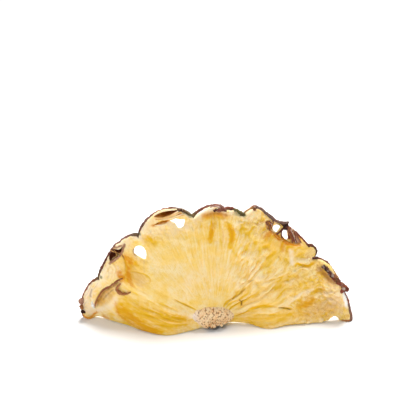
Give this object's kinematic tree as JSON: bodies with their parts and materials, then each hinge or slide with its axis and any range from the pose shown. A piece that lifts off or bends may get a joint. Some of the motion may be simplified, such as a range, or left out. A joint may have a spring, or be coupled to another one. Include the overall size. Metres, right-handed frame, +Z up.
{
  "type": "dried pineapple half ring",
  "caption": "Thin unpeeled dried pineapple half ring with a woody half core and a scalloped rind, standing on its wavy cut edge.",
  "frame": {"origin": "middle of the underside of the bounding box, on the surface that the slice stands on", "axes": "+X along the cut edge towards the right foot, +Y to the back, +Z up"},
  "size_m": [0.0992, 0.0194, 0.0483],
  "materials": {
    "flesh": "dried fruit flesh, slightly waxy and translucent",
    "rind": "dried rind, leathery and purple-brown",
    "core": "dry granular core"
  },
  "bodies": {
    "root": {"dried_pineapple_half_ring": "flesh"}
  },
  "joints": []
}
